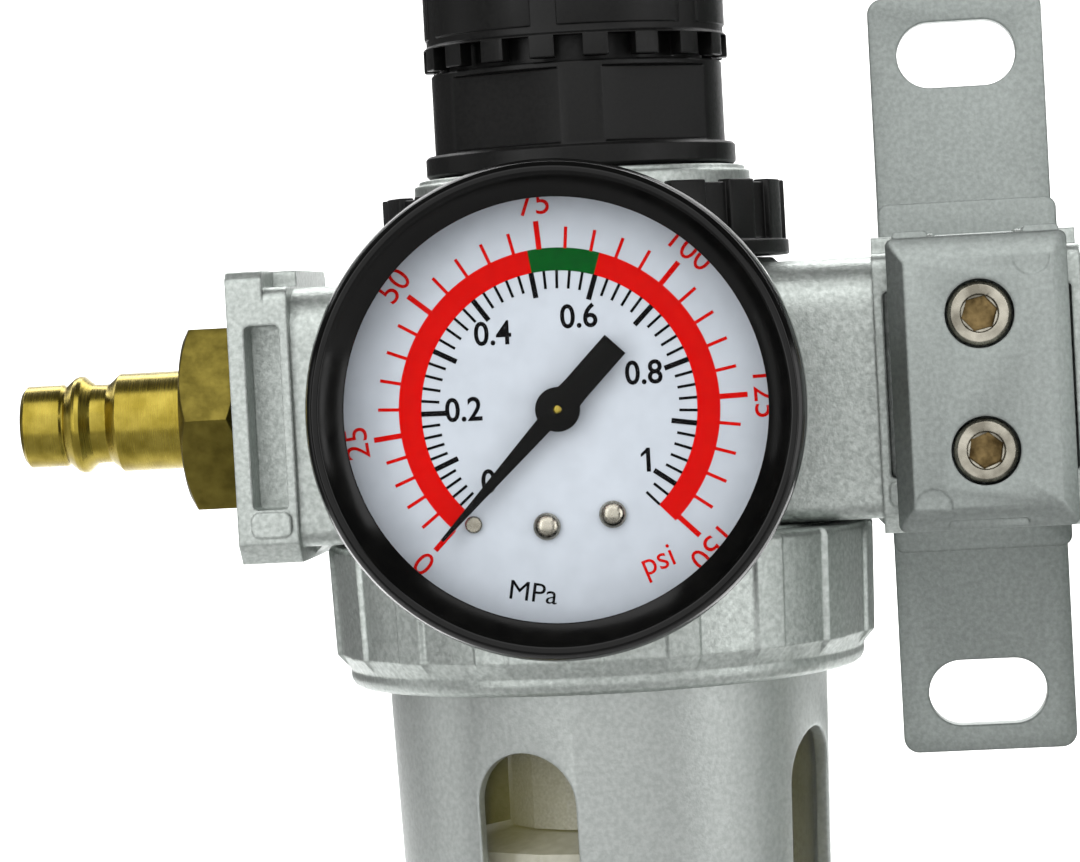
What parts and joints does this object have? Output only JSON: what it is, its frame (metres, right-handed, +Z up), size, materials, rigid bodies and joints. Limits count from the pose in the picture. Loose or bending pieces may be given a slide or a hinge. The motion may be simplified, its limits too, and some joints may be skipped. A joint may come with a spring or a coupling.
{
  "type": "filter regulator lubricator",
  "caption": "Compressed-air filter regulator with gauge and lubricator, joined by a slotted tee bracket, with metal bowl guards and a brass inlet plug.",
  "frame": {"origin": "middle of the bracket's wall face, at the height of the port centre line", "axes": "X with the air flow from inlet to outlet, Y back to the wall, Z up"},
  "size_m": [0.2061, 0.0942, 0.214],
  "materials": {
    "cast": "die-cast, tumbled, fine mottled grain",
    "black_nylon": "moulded, satin",
    "brass": "turned",
    "nickel_steel": "nickel-plated",
    "spring_steel": "drawn wire",
    "black_enamel": "gloss black enamel",
    "pointer_black": "black lacquer",
    "dial_white": "white lacquer, printed scales",
    "lens": "clear",
    "nitrile": "moulded rubber",
    "amber_polycarbonate": "moulded, amber tint",
    "clear_polycarbonate": "moulded, clear",
    "white_acetal": "moulded",
    "sintered_polyethylene": "porous"
  },
  "bodies": {
    "unit": {"regulator_body": "cast", "lubricator_body": "cast", "tee_bracket": "cast", "front_clamp": "cast", "panel_nut": "black_nylon", "bonnet": "black_nylon", "inlet_plug": "brass", "rear_port_plug": "brass", "gauge_stem": "brass", "bourdon_tube": "brass", "drip_tube": "brass", "siphon_strainer": "brass", "clamp_screw_upper": "nickel_steel", "clamp_screw_lower": "nickel_steel", "dial_screw_left": "nickel_steel", "dial_screw_right": "nickel_steel", "gauge_stop_pin": "nickel_steel", "adjusting_spring": "spring_steel", "valve_spring": "spring_steel", "gauge_case": "black_enamel", "gauge_bezel": "black_enamel", "gauge_dial": "dial_white", "gauge_lens": "lens", "diaphragm": "nitrile", "joint_seal_left": "nitrile", "joint_seal_right": "nitrile", "sight_dome_seal": "nitrile", "sight_dome": "clear_polycarbonate", "valve_guide": "white_acetal", "deflector": "white_acetal", "filter_baffle": "white_acetal", "siphon_tube": "white_acetal", "filter_element": "sintered_polyethylene"},
    "adjuster": {"adjusting_screw": "nickel_steel"},
    "knob": {"adjusting_knob": "black_nylon"},
    "seat": {"spring_seat": "nickel_steel"},
    "valve": {"valve_stem": "brass", "diaphragm_plate": "cast"},
    "pointer": {"gauge_pointer": "pointer_black"},
    "sector": {"gauge_sector": "brass"},
    "filter_set": {"filter_guard": "cast", "filter_bowl": "amber_polycarbonate", "filter_bowl_seal": "nitrile", "filter_drain_body": "black_nylon"},
    "filter_ring": {"filter_bowl_ring": "cast"},
    "filter_drain": {"filter_drain_knob": "black_nylon"},
    "lubricator_set": {"lubricator_guard": "cast", "lubricator_bowl": "amber_polycarbonate", "lubricator_bowl_seal": "nitrile", "lubricator_drain_body": "black_nylon"},
    "lubricator_ring": {"lubricator_bowl_ring": "cast"},
    "lubricator_drain": {"lubricator_drain_knob": "black_nylon"},
    "feed": {"feed_knob": "black_nylon"},
    "needle": {"feed_needle": "nickel_steel"},
    "filler": {"fill_plug": "black_nylon", "fill_plug_seal": "nitrile"},
    "flap": {"flow_flap": "nickel_steel"}
  },
  "joints": [
    {"name": "adjuster_turn", "type": "hinge", "parent": "unit", "child": "adjuster", "pos_m": [-0.0468, -0.036, 0.05], "axis": [0, 0, -1], "range_deg": [0, 1440]},
    {"name": "knob_lift", "type": "slide", "parent": "adjuster", "child": "knob", "axis": [0, 0, 1], "range_m": [0, 0.003]},
    {"name": "seat_travel", "type": "slide", "parent": "unit", "child": "seat", "axis": [0, 0, -1], "range_m": [0, 0.0061], "deforming": ["adjusting_spring"]},
    {"name": "valve_stroke", "type": "slide", "parent": "unit", "child": "valve", "axis": [0, 0, -1], "range_m": [0, 0.0015], "stiffness_N_per_m": 500, "springref_m": -0.002, "deforming": ["valve_spring"]},
    {"name": "pointer_turn", "type": "hinge", "parent": "unit", "child": "pointer", "pos_m": [-0.0468, -0.087, 0], "axis": [0, 1, 0], "range_deg": [0, 270], "stiffness_Nm_per_rad": 0.00002, "springref_deg": -11.46},
    {"name": "sector_turn", "type": "hinge", "parent": "unit", "child": "sector", "pos_m": [-0.0468, -0.0831, -0.0059], "axis": [0, -1, 0], "range_deg": [0, 45.1]},
    {"name": "filter_set_drop", "type": "slide", "parent": "unit", "child": "filter_set", "axis": [0, 0, -1], "range_m": [0, 0.11]},
    {"name": "filter_ring_turn", "type": "hinge", "parent": "filter_set", "child": "filter_ring", "pos_m": [-0.0468, -0.036, -0.025], "axis": [0, 0, -1], "range_deg": [0, 540]},
    {"name": "filter_drain_turn", "type": "hinge", "parent": "filter_set", "child": "filter_drain", "pos_m": [-0.0468, -0.036, -0.134], "axis": [0, 0, -1], "range_deg": [0, 90]},
    {"name": "lubricator_set_drop", "type": "slide", "parent": "unit", "child": "lubricator_set", "axis": [0, 0, -1], "range_m": [0, 0.11]},
    {"name": "lubricator_ring_turn", "type": "hinge", "parent": "lubricator_set", "child": "lubricator_ring", "pos_m": [0.0468, -0.036, -0.025], "axis": [0, 0, -1], "range_deg": [0, 540]},
    {"name": "lubricator_drain_turn", "type": "hinge", "parent": "lubricator_set", "child": "lubricator_drain", "pos_m": [0.0468, -0.036, -0.134], "axis": [0, 0, -1], "range_deg": [0, 90]},
    {"name": "feed_turn", "type": "hinge", "parent": "unit", "child": "feed", "pos_m": [0.0468, -0.036, 0.044], "axis": [0, 0, 1], "range_deg": [0, 720]},
    {"name": "needle_lift", "type": "slide", "parent": "unit", "child": "needle", "axis": [0, 0, 1], "range_m": [0, 0.00101]},
    {"name": "filler_lift", "type": "slide", "parent": "unit", "child": "filler", "axis": [0, 0, 1], "range_m": [0, 0.015]},
    {"name": "flap_swing", "type": "hinge", "parent": "unit", "child": "flap", "pos_m": [0.0468, -0.036, 0.0054], "axis": [0, -1, 0], "range_deg": [0, 45]}
  ],
  "couplings": [
    {"joint": "seat_travel", "follows": "adjuster_turn", "m_per_rad": 0.00023873},
    {"joint": "sector_turn", "follows": "pointer_turn", "ratio": 0.16667},
    {"joint": "needle_lift", "follows": "feed_turn", "m_per_rad": 0.000079577}
  ]
}
